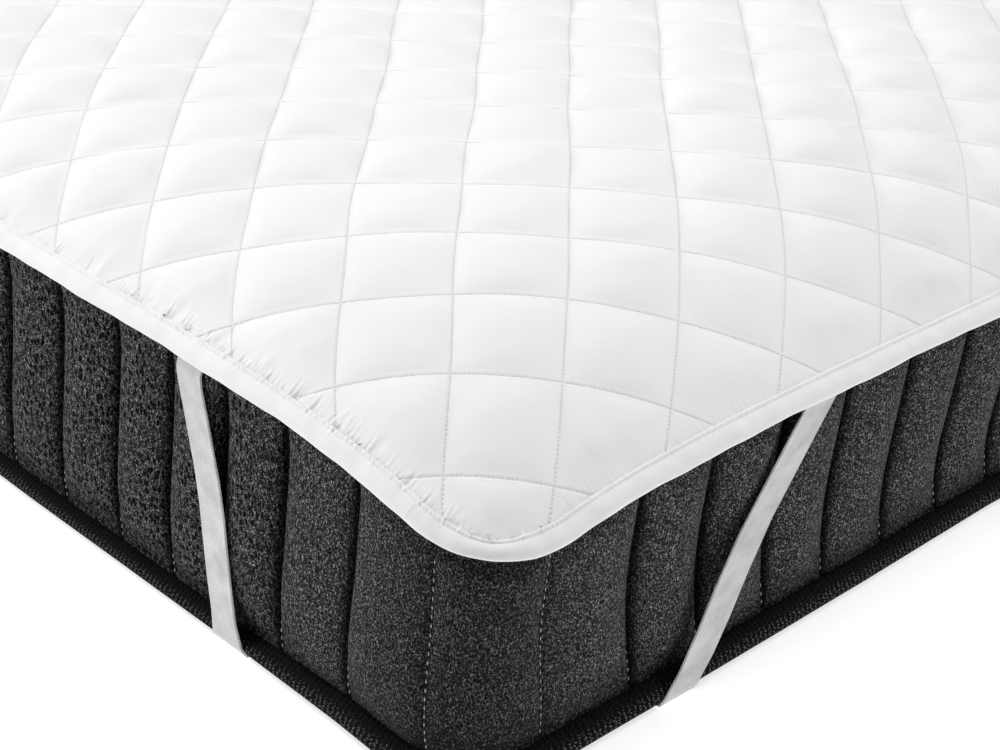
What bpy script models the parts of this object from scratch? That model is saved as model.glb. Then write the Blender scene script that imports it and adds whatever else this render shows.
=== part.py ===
"""A diamond-quilted mattress protector, held by four elastic corner straps, on the mattress that it fits.

Metres, +Z up. The origin is on the floor, at the middle of the mattress's footprint. X runs along the short
sides and Y along the long ones. The cloth is described flat, by its distance (across, along) from its middle,
and on_cloth() lays each flat spot on the rounded mattress.
"""

import math

import bmesh
import bpy
import numpy as np
from mathutils import Matrix, Vector
from mathutils.geometry import delaunay_2d_cdt

# Mattress
MATTRESS_X = 1.40
MATTRESS_Y = 2.00
CORNER_RADIUS = 0.055
CHANNEL_COUNT = 109  # padded upright channels sewn round the sides
FIRST_SEAM = -0.0365  # along the outline, from the start of the first corner
TOP_LINE_INSET = 0.016  # where the upper surface ends and the shoulder begins, along the cloth
SHOULDER_INSET = 0.0085
SHOULDER_DEPTH = 0.0068  # below the stitch surface of the cloth
SHOULDER_SLOPE = math.radians(36)  # where the mattress is as far below the cloth as at its shoulder
CORNER_REACH = 0.1  # channels whose middle is this near a corner's middle get more columns
WALL_FOOT = 0.0245
FOOT_SECTION = ((0.0045, 0.0235), (0.0045, 0.0032), (0.0075, 0.0))  # inward, height

# Band of mesh sewn round the foot of the mattress
BAND_SECTION = (  # inward, height
    (0.0040, 0.0034),
    (0.0012, 0.0028),
    (0.0000, 0.0060),
    (0.0000, 0.0195),
    (0.0012, 0.0228),
    (0.0040, 0.0232),
)

# Rows of the mattress's side, from its foot (share 0) to the shoulder under the cloth (share 1)
SIDE_ROWS = (  # share of the height, inward at a channel's crown, inward at its seam
    (0.00, 0.0045, 0.0045),
    (0.12, 0.0010, 0.0060),
    (0.35, -0.0035, 0.0035),
    (0.62, -0.0035, 0.0035),
    (0.86, 0.0010, 0.0070),
)

# Columns of one channel, with more where the side turns a corner
STRAIGHT_CHANNEL = ((0, 0), (0.5, 1))  # share of the channel's width, fullness
ROUND_CHANNEL = ((0, 0), (0.25, 0.8), (0.5, 1), (0.75, 0.8))

# How the cloth falls over the mattress's soft edge: its slope grows smoothly towards the rim
CLOTH_TOP = 0.2518
STEEPEST_SLOPE = math.radians(82)
SLOPE_CENTRE = -0.0052
SLOPE_FADE = 0.0692
CORNER_SHARE = 0.3688  # how much of one side's fall the other side takes up at a corner
FALL_LINES = (0.035, 0.06, 0.09, 0.13, 0.18, 0.25, 0.36)  # runs inward from the mattress's side
MIDDLE_LINE = 0.32  # one more line at each side of the middle, along the length

# Quilted pad
PAD_OVER_X = 0.0071  # how far the cloth runs past the mattress's size at each long side
PAD_OVER_Y = 0.0264  # and at each short side
PAD_CORNER = 0.082
QUILT_HALF_DIAGONAL = 0.0496  # half of a diamond's diagonal: the stitch lines are 70 mm apart
QUILT_STEPS_X = 27  # half diagonals between the first and last stitch crossings
QUILT_STEPS_Y = 40
PUFF_HEIGHT = 0.006
PAD_THICK = 0.0025  # at a stitch line
SEAM_INSET = 0.0165  # the stitch line of the binding, from the edge
STRIP_INSET = 0.0046  # where the pad ends inside the binding

# Binding folded round the pad's edge
BINDING_SECTION = (  # inward from the edge, height over the stitch surface
    (0.0155, 0.0013),
    (0.0030, 0.0013),
    (0.0000, -0.00125),
    (0.0030, -0.0038),
    (0.0155, -0.0038),
    (0.0155, -0.0028),
    (0.0043, -0.0028),
    (0.0015, -0.00125),
    (0.0043, 0.0003),
    (0.0155, 0.0003),
)

# Elastic corner straps, 25 mm wide
STRAP_WIDTH = 0.025
STRAP_THICK = 0.0012
STRAP_UNDER_BINDING = -0.0061
STRAP_TOP_INSETS = (0.0145, 0.0055)
STRAP_FOOT = 0.0017  # height of the strap's upper face under the mattress
STRAP_GROOVE = 0.0020
GROOVE_MARGIN = 0.0012
GROOVE_RUN_OUT = 0.08  # past the sides, so that the groove is open at both ends
STRAP_FLARE = 0.03  # below this height the strap widens into its turn
SHARPEST_BEND = 0.7  # limits how far a bend's outer face is pushed out
STRAP_TOP = 0.175  # height at which the straps reach the binding
LONG_SIDE_STRAP = {"foot": 0.219, "lean": 0.215}  # foot: from the corner, along the side
SHORT_SIDE_STRAP = {"foot": 0.1755, "lean": 0.682}  # lean: sideways for each metre up
LONG_SIDE_ROUTE = ((0.1740, 0.0000), (0.164, -0.0027))  # height, inward
SHORT_SIDE_ROUTE = ((0.160, -0.0030),)
COMMON_ROUTE = ((0.130, -0.0042), (0.075, -0.0043), (0.022, -0.0010), (0.006, -0.0008), (0.0019, 0.0003))
STRAP_TURN = 0.004  # inward place where the strap lies flat under the mattress

ARC_STEPS = 6
BAND_ARC_STEPS = 8
GAP = 0.0003  # between pieces that touch
CLEAR_OF_OUTLINE = 0.006  # the least distance of an inner point from an outline, which avoids thin facets
WELD = 0.00001

# The fall of the cloth, worked out once along the run from the mattress's side
RUN = np.linspace(-0.10, 1.10, 2401)


def slope_at(run):
    return STEEPEST_SLOPE / (1 + np.exp((run - SLOPE_CENTRE) / SLOPE_FADE))


def running_sum(rate):
    steps = (rate[1:] + rate[:-1]) / 2 * (RUN[1] - RUN[0])
    return np.concatenate([[0.0], np.cumsum(steps)])


PLAN = running_sum(np.cos(slope_at(RUN)))
PLAN = PLAN - PLAN[-1] + RUN[-1]
DROP = running_sum(np.sin(slope_at(RUN)))
DROP = DROP[-1] - DROP
EDGE_DROP = float(np.interp(0.0, RUN, DROP))


def fall(run):
    """How far in from the mattress's side, how far down and how steep the cloth is after this run."""
    return float(np.interp(run, RUN, PLAN)), float(np.interp(run, RUN, DROP)), float(slope_at(run))


def on_cloth(across, along, height):
    """The place of a flat spot of the cloth, lifted by height along the surface's normal."""
    plan_x, drop_x, slope_x = fall(MATTRESS_X / 2 - abs(across))
    plan_y, drop_y, slope_y = fall(MATTRESS_Y / 2 - abs(along))
    level = CLOTH_TOP - drop_x - drop_y + CORNER_SHARE * drop_x * drop_y / EDGE_DROP
    lean_x = math.tan(slope_x) * (1 - CORNER_SHARE * drop_y / EDGE_DROP)
    lean_y = math.tan(slope_y) * (1 - CORNER_SHARE * drop_x / EDGE_DROP)
    side_x = math.copysign(1, across)
    side_y = math.copysign(1, along)
    normal = Vector((side_x * lean_x, side_y * lean_y, 1)).normalized()
    spot = Vector((side_x * (MATTRESS_X / 2 - plan_x), side_y * (MATTRESS_Y / 2 - plan_y), level))
    return spot + normal * height


def outline_point(place, half_x, half_y, radius):
    """A point of a rounded rectangle. Place runs from 0 to 8: corner, side, corner, side and so on."""
    segment = int(place) % 8
    part = place - int(place)
    quarter = segment // 2
    centre_x = half_x - radius
    centre_y = half_y - radius
    if segment % 2 == 0:
        angle = math.pi * (1 + (quarter + part) / 2)
        side_x = (-1, 1, 1, -1)[quarter]
        side_y = (-1, -1, 1, 1)[quarter]
        return side_x * centre_x + radius * math.cos(angle), side_y * centre_y + radius * math.sin(angle)
    sweep = 2 * part - 1
    return (
        (sweep * centre_x, -half_y),
        (half_x, sweep * centre_y),
        (-sweep * centre_x, half_y),
        (-half_x, -sweep * centre_y),
    )[quarter]


def side_marks(half):
    """Places along a side where facets meet: close together where the cloth falls towards a corner."""
    marks = [half - run for run in FALL_LINES]
    return sorted(marks + [-mark for mark in marks] + [0.0])


def outline_places(half_x, half_y, radius):
    places = []
    for quarter in range(4):
        places += [2 * quarter + step / ARC_STEPS for step in range(ARC_STEPS + 1)]
        if quarter % 2 == 0:
            marks, reach = side_marks(MATTRESS_X / 2), half_x - radius
        else:
            marks, reach = side_marks(MATTRESS_Y / 2), half_y - radius
        inner = [mark for mark in marks if abs(mark) < reach - 0.004]
        places += [2 * quarter + 1 + (mark / reach + 1) / 2 for mark in inner]
    return places


PAD_HALF_X = MATTRESS_X / 2 + PAD_OVER_X
PAD_HALF_Y = MATTRESS_Y / 2 + PAD_OVER_Y
PAD_PLACES = outline_places(PAD_HALF_X, PAD_HALF_Y, PAD_CORNER)


def pad_outline(inset):
    """The flat spots of the line that runs this far inside the pad's edge."""
    return [
        outline_point(place, PAD_HALF_X - inset, PAD_HALF_Y - inset, PAD_CORNER - inset)
        for place in PAD_PLACES
    ]


class Skin:
    """A closed surface, gathered as points and faces."""

    def __init__(self):
        self.points = []
        self.faces = []

    def loop(self, points):
        first = len(self.points)
        self.points += [Vector(point) for point in points]
        return list(range(first, len(self.points)))

    def bridge(self, one, other):
        """Four-sided faces between two loops of equal count."""
        for index in range(len(one)):
            after = (index + 1) % len(one)
            self.faces.append((one[index], one[after], other[after], other[index]))

    def zip_loops(self, one, one_places, other, other_places):
        """Triangles between two loops of unequal count, whose places both rise round the outline."""
        left, right = 0, 0
        while left < len(one) or right < len(other):
            next_left = one_places[left + 1] if left + 1 < len(one) else 8 + one_places[0]
            next_right = other_places[right + 1] if right + 1 < len(other) else 8 + other_places[0]
            here = one[left % len(one)]
            there = other[right % len(other)]
            if right >= len(other) or (left < len(one) and next_left <= next_right):
                self.faces.append((here, one[(left + 1) % len(one)], there))
                left += 1
            else:
                self.faces.append((here, other[(right + 1) % len(other)], there))
                right += 1

    def patch(self, outline, inner, place):
        """A triangulated sheet inside a flat outline, each flat spot set in space by place()."""
        spots = [Vector(spot) for spot in outline + inner]
        ring = [(index, (index + 1) % len(outline)) for index in range(len(outline))]
        flat, _, faces, _, _, _ = delaunay_2d_cdt(spots, ring, [], 1, 1e-6)
        first = len(self.points)
        self.points += [place(spot.x, spot.y) for spot in flat]
        self.faces += [tuple(first + corner for corner in face) for face in faces]

    def build(self, name, material):
        mesh = bpy.data.meshes.new(name)
        mesh.from_pydata([tuple(point) for point in self.points], [], self.faces)
        work = bmesh.new()
        work.from_mesh(mesh)
        bmesh.ops.remove_doubles(work, verts=work.verts, dist=WELD)
        bmesh.ops.recalc_face_normals(work, faces=work.faces)
        work.to_mesh(mesh)
        work.free()
        mesh.materials.append(material)
        made = bpy.data.objects.new(name, mesh)
        bpy.context.scene.collection.objects.link(made)
        return made


def finish(name, colour, roughness):
    material = bpy.data.materials.new(name)
    material.use_nodes = True
    shader = material.node_tree.nodes["Principled BSDF"]
    shader.inputs["Base Color"].default_value = (*colour, 1)
    shader.inputs["Roughness"].default_value = roughness
    shader.inputs["Metallic"].default_value = 0
    return material


def inside(across, along, half_x, half_y, radius):
    """Whether a flat spot lies clearly inside a rounded rectangle."""
    past_x = max(abs(across) - (half_x - radius), 0)
    past_y = max(abs(along) - (half_y - radius), 0)
    return math.hypot(past_x, past_y) < radius - CLEAR_OF_OUTLINE


def fall_grid(half_x, half_y, radius):
    """Flat spots where the lines of fall of both directions cross, inside a rounded rectangle."""
    lines_x = side_marks(MATTRESS_X / 2)
    lines_y = side_marks(MATTRESS_Y / 2) + [-MIDDLE_LINE, MIDDLE_LINE]
    spots = [(across, along) for across in lines_x for along in lines_y]
    return [spot for spot in spots if inside(*spot, half_x, half_y, radius)]


def quilted_pad():
    skin = Skin()
    seam_half_x = PAD_HALF_X - SEAM_INSET
    seam_half_y = PAD_HALF_Y - SEAM_INSET
    seam_corner = PAD_CORNER - SEAM_INSET
    seam = pad_outline(SEAM_INSET)

    # Corners and middles of the diamonds on whole steps, middles of the stitch lines on half steps
    crowns = set()
    spots = []
    for shift in (0.0, 0.5):
        for step_x in range(-1, QUILT_STEPS_X + 2):
            for step_y in range(-1, QUILT_STEPS_Y + 2):
                across = (step_x + shift - QUILT_STEPS_X / 2) * QUILT_HALF_DIAGONAL
                along = (step_y + shift - QUILT_STEPS_Y / 2) * QUILT_HALF_DIAGONAL
                if inside(across, along, seam_half_x, seam_half_y, seam_corner):
                    spots.append((across, along))
                    if shift == 0.0 and (step_x + step_y) % 2 == 1:
                        crowns.add((round(across, 4), round(along, 4)))

    def top(across, along):
        raised = (round(across, 4), round(along, 4)) in crowns
        return on_cloth(across, along, PUFF_HEIGHT if raised else 0.0)

    def underside(across, along):
        return on_cloth(across, along, -PAD_THICK)

    skin.patch(seam, spots, top)
    skin.patch(seam, fall_grid(seam_half_x, seam_half_y, seam_corner), underside)
    rims = (
        (SEAM_INSET, 0.0),
        (STRIP_INSET, 0.0),
        (STRIP_INSET, -PAD_THICK),
        (SEAM_INSET, -PAD_THICK),
    )
    loops = [skin.loop([on_cloth(*spot, height) for spot in pad_outline(inset)]) for inset, height in rims]
    for one, other in zip(loops[:-1], loops[1:]):
        skin.bridge(one, other)
    return skin.build("quilted_pad", finish("white_microfibre", (0.90, 0.90, 0.90), 0.75))


def edge_binding():
    skin = Skin()
    loops = [
        skin.loop([on_cloth(*spot, height) for spot in pad_outline(inset)])
        for inset, height in BINDING_SECTION
    ]
    for one, other in zip(loops, loops[1:] + loops[:1]):
        skin.bridge(one, other)
    return skin.build("edge_binding", finish("white_binding", (0.92, 0.92, 0.92), 0.7))


def channel_places():
    """(place, fullness) of each column of the mattress's side: 0 at a seam, 1 at a channel's crown."""
    arc = CORNER_RADIUS * math.pi / 2
    straight_x = MATTRESS_X - 2 * CORNER_RADIUS
    straight_y = MATTRESS_Y - 2 * CORNER_RADIUS
    lengths = (arc, straight_x, arc, straight_y, arc, straight_x, arc, straight_y)
    ends = np.concatenate([[0.0], np.cumsum(lengths)])
    pitch = ends[-1] / CHANNEL_COUNT
    corners = ends[:-1:2] + arc / 2
    columns = []
    for channel in range(CHANNEL_COUNT):
        middle = FIRST_SEAM + (channel + 0.5) * pitch
        away = np.abs(middle - corners)
        at_corner = np.minimum(away, ends[-1] - away).min() < CORNER_REACH
        for part, fullness in ROUND_CHANNEL if at_corner else STRAIGHT_CHANNEL:
            distance = (FIRST_SEAM + (channel + part) * pitch) % ends[-1]
            segment = int(np.searchsorted(ends, distance, side="right")) - 1
            columns.append((segment + (distance - ends[segment]) / lengths[segment], fullness))
    return sorted(columns)


def side_point(place, inward):
    return outline_point(place, MATTRESS_X / 2 - inward, MATTRESS_Y / 2 - inward, CORNER_RADIUS - inward)


def under_cloth(across, along):
    """The mattress's upper surface: just below the pad on the flat, and further off where both fall."""
    steep = slope_at(MATTRESS_X / 2 - abs(across)) + slope_at(MATTRESS_Y / 2 - abs(along))
    share = min(1.0, float(steep) / SHOULDER_SLOPE)
    return on_cloth(across, along, -(PAD_THICK + GAP) * (1 - share) - SHOULDER_DEPTH * share)


def shoulder_point(place):
    x, y = side_point(place, SHOULDER_INSET)
    across = math.copysign(MATTRESS_X / 2 - float(np.interp(MATTRESS_X / 2 - abs(x), PLAN, RUN)), x)
    along = math.copysign(MATTRESS_Y / 2 - float(np.interp(MATTRESS_Y / 2 - abs(y), PLAN, RUN)), y)
    return on_cloth(across, along, -SHOULDER_DEPTH)


def mattress():
    skin = Skin()
    columns = channel_places()
    places = [place for place, _ in columns]

    # Upper surface, down to a line a little inside the shoulder
    half_x = MATTRESS_X / 2 - TOP_LINE_INSET
    half_y = MATTRESS_Y / 2 - TOP_LINE_INSET
    corner = CORNER_RADIUS - TOP_LINE_INSET
    top_places = outline_places(half_x, half_y, corner)
    top_line = [outline_point(place, half_x, half_y, corner) for place in top_places]
    skin.patch(top_line, fall_grid(half_x, half_y, corner), under_cloth)
    top_loop = skin.loop([under_cloth(*spot) for spot in top_line])

    shoulder = [shoulder_point(place) for place in places]
    upper = skin.loop(shoulder)
    skin.zip_loops(top_loop, top_places, upper, places)
    for share, at_crown, at_seam in reversed(SIDE_ROWS):
        ring = []
        for (place, fullness), above in zip(columns, shoulder):
            x, y = side_point(place, at_seam + (at_crown - at_seam) * fullness)
            ring.append((x, y, WALL_FOOT + (above.z - WALL_FOOT) * share))
        lower = skin.loop(ring)
        skin.bridge(upper, lower)
        upper = lower

    # The plain foot behind the band, and the flat underside
    foot_places = corner_places(ARC_STEPS)
    foot = [
        skin.loop([(*side_point(place, inward), height) for place in foot_places])
        for inward, height in FOOT_SECTION
    ]
    skin.zip_loops(upper, places, foot[0], foot_places)
    for one, other in zip(foot[:-1], foot[1:]):
        skin.bridge(one, other)
    skin.faces.append(tuple(foot[-1]))
    body = skin.build("mattress", finish("charcoal_knit", (0.045, 0.047, 0.05), 0.95))

    # A shallow groove under each corner, pressed in by the strap that passes there
    for side_x in (-1, 1):
        for side_y in (-1, 1):
            cut = body.modifiers.new("strap_groove", "BOOLEAN")
            cut.operation = "DIFFERENCE"
            cut.object = groove_cutter(side_x, side_y)
    return body


def corner_places(steps):
    """Places round the four corners alone, for a line that is straight between them."""
    return [2 * quarter + step / steps for quarter in range(4) for step in range(steps + 1)]


def base_band():
    skin = Skin()
    loops = [
        skin.loop([(*side_point(place, inward), height) for place in corner_places(BAND_ARC_STEPS)])
        for inward, height in BAND_SECTION
    ]
    for one, other in zip(loops, loops[1:] + loops[:1]):
        skin.bridge(one, other)
    return skin.build("mattress_base_band", finish("black_mesh", (0.012, 0.012, 0.013), 0.8))


def strap_ends():
    """Where the strap turns under the two sides, from the corner, and its direction between them."""
    start = Vector((STRAP_TURN, LONG_SIDE_STRAP["foot"]))
    end = Vector((SHORT_SIDE_STRAP["foot"], STRAP_TURN))
    return start, end, (end - start).normalized()


def groove_cutter(side_x, side_y):
    start, end, heading = strap_ends()
    middle = (start + end) / 2
    length = (end - start).length + GROOVE_RUN_OUT
    width = STRAP_WIDTH + 2 * GROOVE_MARGIN
    mesh = bpy.data.meshes.new("groove_cutter")
    work = bmesh.new()
    bmesh.ops.create_cube(work, size=1)
    bmesh.ops.scale(work, vec=(length, width, 2 * STRAP_GROOVE), verts=work.verts)
    turn = math.atan2(side_y * -heading.y, side_x * -heading.x)
    bmesh.ops.rotate(work, cent=(0, 0, 0), matrix=Matrix.Rotation(turn, 3, "Z"), verts=work.verts)
    work.to_mesh(mesh)
    work.free()
    cutter = bpy.data.objects.new("groove_cutter", mesh)
    cutter.location = (side_x * (MATTRESS_X / 2 - middle.x), side_y * (MATTRESS_Y / 2 - middle.y), 0)
    cutter.hide_render = True
    cutter.display_type = "WIRE"
    bpy.context.scene.collection.objects.link(cutter)
    return cutter


def under_binding(strap, inset):
    """Inward place and height of a strap's lower face, under the binding, where the strap is sewn to it."""
    beside = strap["foot"] + strap["lean"] * STRAP_TOP
    if strap is LONG_SIDE_STRAP:
        spot = on_cloth(inset - PAD_HALF_X, beside - MATTRESS_Y / 2, STRAP_UNDER_BINDING)
        return spot.x + MATTRESS_X / 2, spot.z
    spot = on_cloth(beside - MATTRESS_X / 2, inset - PAD_HALF_Y, STRAP_UNDER_BINDING)
    return spot.y + MATTRESS_Y / 2, spot.z


def side_stations(strap, route, half_run, turn_half):
    """Stations of a strap down one side: inward, from the corner, height, normal and half width."""
    section = [under_binding(strap, inset) for inset in STRAP_TOP_INSETS]
    section += [(inward, height) for height, inward in route + COMMON_ROUTE]
    section.append((STRAP_TURN, STRAP_FOOT))
    stations = []
    for index, (inward, height) in enumerate(section):
        before = Vector(section[max(index - 1, 0)])
        here = Vector((inward, height))
        after = Vector(section[min(index + 1, len(section) - 1)])
        headings = [step.normalized() for step in (here - before, after - here) if step.length > 0]
        normals = [Vector((heading.y, -heading.x)) for heading in headings]
        normal = (normals[0] + normals[-1]).normalized()
        normal /= max(normal.dot(normals[0]), SHARPEST_BEND)
        if index == len(section) - 1:
            normal = Vector((0, -1))
        low = max(0.0, 1 - height / STRAP_FLARE)
        half = half_run + (turn_half - half_run) * low
        foot = strap["foot"] + strap["lean"] * height
        stations.append((inward, foot, height, normal.x, normal.y, half))
    return stations


def corner_strap(name, side_x, side_y, material):
    start, end, heading = strap_ends()
    half = STRAP_WIDTH / 2
    long_half = half * math.hypot(1, LONG_SIDE_STRAP["lean"])
    short_half = half * math.hypot(1, SHORT_SIDE_STRAP["lean"])
    down = side_stations(LONG_SIDE_STRAP, LONG_SIDE_ROUTE, long_half, half / abs(heading.x))
    up = side_stations(SHORT_SIDE_STRAP, SHORT_SIDE_ROUTE, short_half, half / abs(heading.y))

    # (place, half width as a vector, outward normal), the place measured from the corner
    stations = []
    for inward, foot, height, out, rise, width in down:
        stations.append((Vector((inward, foot, height)), Vector((0, width, 0)), Vector((out, 0, rise))))
    middle = (start + end) / 2
    across = Vector((-heading.y, heading.x, 0)) * half
    stations.append((Vector((middle.x, middle.y, STRAP_FOOT)), across, Vector((0, 0, -1))))
    for inward, foot, height, out, rise, width in reversed(up):
        stations.append((Vector((foot, inward, height)), Vector((width, 0, 0)), Vector((0, out, rise))))

    skin = Skin()
    rows = []
    for spot, wide, normal in stations:
        thick = normal * STRAP_THICK
        corners = (spot - wide, spot + wide, spot + wide + thick, spot - wide + thick)
        rows.append(
            skin.loop(
                [
                    (side_x * (MATTRESS_X / 2 - one.x), side_y * (MATTRESS_Y / 2 - one.y), one.z)
                    for one in corners
                ]
            )
        )
    for one, other in zip(rows[:-1], rows[1:]):
        skin.bridge(one, other)
    skin.faces.append(tuple(rows[0]))
    skin.faces.append(tuple(rows[-1]))
    return skin.build(name, material)


def main():
    for old in list(bpy.data.objects):
        bpy.data.objects.remove(old, do_unlink=True)
    mattress()
    base_band()
    quilted_pad()
    edge_binding()
    elastic = finish("white_elastic", (0.85, 0.85, 0.86), 0.6)
    for name, side_x, side_y in (
        ("corner_strap_front_left", -1, -1),
        ("corner_strap_front_right", 1, -1),
        ("corner_strap_back_right", 1, 1),
        ("corner_strap_back_left", -1, 1),
    ):
        corner_strap(name, side_x, side_y, elastic)


main()
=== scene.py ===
"""The looks of a quilted mattress protector on its mattress: quilting, pleats, stitches, elastic and knit.

Metres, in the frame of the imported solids: +Z up, the origin on the floor at the middle of the mattress.
A flat spot of the cloth is (across, along) from its middle, and on_cloth() lays it on the rounded mattress.
"""

import math

import bmesh
import bpy
import numpy as np
from mathutils import Matrix, Vector
from mathutils.geometry import delaunay_2d_cdt


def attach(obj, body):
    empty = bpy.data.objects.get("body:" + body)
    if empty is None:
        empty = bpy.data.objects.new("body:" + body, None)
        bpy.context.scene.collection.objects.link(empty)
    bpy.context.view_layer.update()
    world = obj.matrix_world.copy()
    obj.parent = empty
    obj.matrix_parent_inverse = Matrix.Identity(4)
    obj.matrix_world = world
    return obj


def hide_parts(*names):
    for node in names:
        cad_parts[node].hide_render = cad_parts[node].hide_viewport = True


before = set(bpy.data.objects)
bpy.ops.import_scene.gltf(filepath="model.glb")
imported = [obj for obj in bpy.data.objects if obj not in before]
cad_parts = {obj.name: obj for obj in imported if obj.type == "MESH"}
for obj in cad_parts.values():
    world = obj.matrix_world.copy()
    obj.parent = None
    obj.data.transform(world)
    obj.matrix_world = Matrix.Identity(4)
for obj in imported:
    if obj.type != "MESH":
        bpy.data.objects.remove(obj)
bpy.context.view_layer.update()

# Mattress, as in the solids
HALF_X = 0.70
HALF_Y = 1.00
CORNER_RADIUS = 0.055
SHOULDER_INSET = 0.0085
SHOULDER_DEPTH = 0.0068
WALL_FOOT = 0.0180

# The fall of the cloth over the mattress's soft edge
CLOTH_TOP = 0.2518
STEEPEST_SLOPE = math.radians(82)
SLOPE_CENTRE = -0.0052
SLOPE_FADE = 0.0692
CORNER_SHARE = 0.3688

# Pad and binding
PAD_HALF_X = HALF_X + 0.0071
PAD_HALF_Y = HALF_Y + 0.0264
PAD_CORNER = 0.082
PAD_THICK = 0.0025
SEAM_INSET = 0.0160
BINDING_WIDTH = 0.0155
CORNER_NARROWING = 0.0042  # the binding is drawn narrower round a corner

# Quilting: the place of its lines, measured from the mattress's corner nearest the camera
QUILT_PITCH = 0.07
QUILT_TURN = math.pi / 4 + 0.0093
QUILT_START_DEPTH = 0.8803
QUILT_START_SIDE = -0.2746
QUILT_STEPS = 8  # mesh steps from one stitch line to the next, before the finer zones
PUFF_HEIGHT = 0.0098
STITCHES_PER_CELL = 24
FINE_ZONES = (  # inset from the binding's seam, distance along it, for which the mesh is halved again
    (0.030, 0.75),
    (0.013, 0.52),
)
NEAR_CORNER = 0.80  # radius of the quilting that the camera sees closely
PAD_UNDER_BINDING = 0.0025  # how far the pad runs on under the binding where that is narrowest
CUT_MARGIN = 0.015  # past the pad's edge, before the mesh is cut to the outline
UNDERSIDE_GRID = ((0.66, 0.06), (0.98, 0.07))  # reach and step of the inner points, across and along

# Pleats where the binding gathers the pad: place along the seam from the start of the near corner
# (below zero up the long side), half length and strength
GATHERS = (
    (-0.520, 0.024, 0.5),
    (-0.450, 0.020, 0.6),
    (-0.385, 0.018, 0.7),
    (-0.341, 0.008, 0.5),
    (-0.290, 0.022, 0.9),
    (-0.234, 0.026, 1.0),
    (-0.183, 0.024, 1.2),
    (-0.140, 0.022, 1.0),
    (-0.102, 0.014, 0.7),
    (-0.078, 0.010, 0.7),
    (-0.055, 0.018, 0.7),
    (-0.028, 0.012, 0.4),
    (-0.004, 0.014, 0.7),
    (0.030, 0.012, 0.6),
    (0.062, 0.030, 1.1),
    (0.110, 0.018, 0.3),
)
PLAIN_GATHER = 0.32
PLEAT_HEIGHT = 0.0012

# Creases that run from the seam into the quilting: two ends, each (along the seam, inset), half width, height
CREASES = (
    (-0.0835, 0.0165, -0.0763, 0.0407, 0.0011, 0.0007),
    (-0.0737, 0.0165, -0.0751, 0.0360, 0.0010, 0.0006),
    (-0.0690, 0.0165, -0.0640, 0.0260, 0.0012, -0.0006),
    (0.0240, 0.0140, 0.0330, 0.0300, 0.0016, 0.0006),
    (0.0310, 0.0130, 0.0450, 0.0210, 0.0014, -0.0005),
    (-0.2000, 0.0165, -0.1900, 0.0450, 0.0042, -0.0012),
    (-0.2450, 0.0165, -0.2390, 0.0400, 0.0036, -0.0010),
    (-0.1560, 0.0165, -0.1490, 0.0400, 0.0034, 0.0009),
    (-0.2740, 0.0165, -0.2810, 0.0480, 0.0045, -0.0010),
    (-0.3300, 0.0165, -0.3260, 0.0420, 0.0040, 0.0010),
    (-0.1180, 0.0165, -0.1080, 0.0360, 0.0030, -0.0008),
    (-0.0480, 0.0165, -0.0440, 0.0360, 0.0032, -0.0008),
)

# Camera, fitted to the quilting, the pad's edges and the mattress's foot
CAMERA_FROM_CORNER = (-0.6237, -0.6794, 0.7560)
CAMERA_HEADING = math.radians(46.55)
CAMERA_DOWN = math.radians(27.26)
CAMERA_ROLL = -0.0271
CAMERA_LENS = 73.9

RUN = np.linspace(-0.10, 1.10, 2401)


def slope_at(run):
    return STEEPEST_SLOPE / (1 + np.exp((run - SLOPE_CENTRE) / SLOPE_FADE))


def running_sum(rate):
    steps = (rate[1:] + rate[:-1]) / 2 * (RUN[1] - RUN[0])
    return np.concatenate([[0.0], np.cumsum(steps)])


PLAN = running_sum(np.cos(slope_at(RUN)))
PLAN = PLAN - PLAN[-1] + RUN[-1]
DROP = running_sum(np.sin(slope_at(RUN)))
DROP = DROP[-1] - DROP
EDGE_DROP = float(np.interp(0.0, RUN, DROP))


def on_cloth(across, along, height):
    """Places of flat spots of the cloth, lifted by height along the surface's normal. All are arrays."""
    across, along, height = np.broadcast_arrays(*[np.asarray(one, float) for one in (across, along, height)])
    run_x = HALF_X - np.abs(across)
    run_y = HALF_Y - np.abs(along)
    drop_x = np.interp(run_x, RUN, DROP)
    drop_y = np.interp(run_y, RUN, DROP)
    lean_x = np.tan(slope_at(run_x)) * (1 - CORNER_SHARE * drop_y / EDGE_DROP)
    lean_y = np.tan(slope_at(run_y)) * (1 - CORNER_SHARE * drop_x / EDGE_DROP)
    side_x = np.where(across < 0, -1.0, 1.0)
    side_y = np.where(along < 0, -1.0, 1.0)
    normal = np.stack([side_x * lean_x, side_y * lean_y, np.ones_like(lean_x)], -1)
    normal /= np.linalg.norm(normal, axis=-1, keepdims=True)
    spot = np.stack(
        [
            side_x * (HALF_X - np.interp(run_x, RUN, PLAN)),
            side_y * (HALF_Y - np.interp(run_y, RUN, PLAN)),
            CLOTH_TOP - drop_x - drop_y + CORNER_SHARE * drop_x * drop_y / EDGE_DROP,
        ],
        -1,
    )
    return spot + normal * height[..., None]


def ripple(where, waves, round_trip=None):
    """A smooth uneven line: waves is rows of (wavelength, size, phase). It closes on itself after a round trip."""
    total = 0.0
    for wavelength, size, phase in waves:
        if round_trip:
            wavelength = round_trip / round(round_trip / wavelength)
        total = total + size * np.sin(2 * math.pi * where / wavelength + phase)
    return total


def scatter(*keys):
    """An even spread of numbers from 0 to 1, fixed by whole-number keys."""
    mixed = sum(np.asarray(key, float) * factor for key, factor in zip(keys, (12.9898, 78.233, 37.719)))
    return np.abs(np.sin(mixed) * 43758.5453) % 1.0


def smooth_step(low, high, value):
    share = np.clip((value - low) / (high - low), 0, 1)
    return share * share * (3 - 2 * share)


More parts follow.
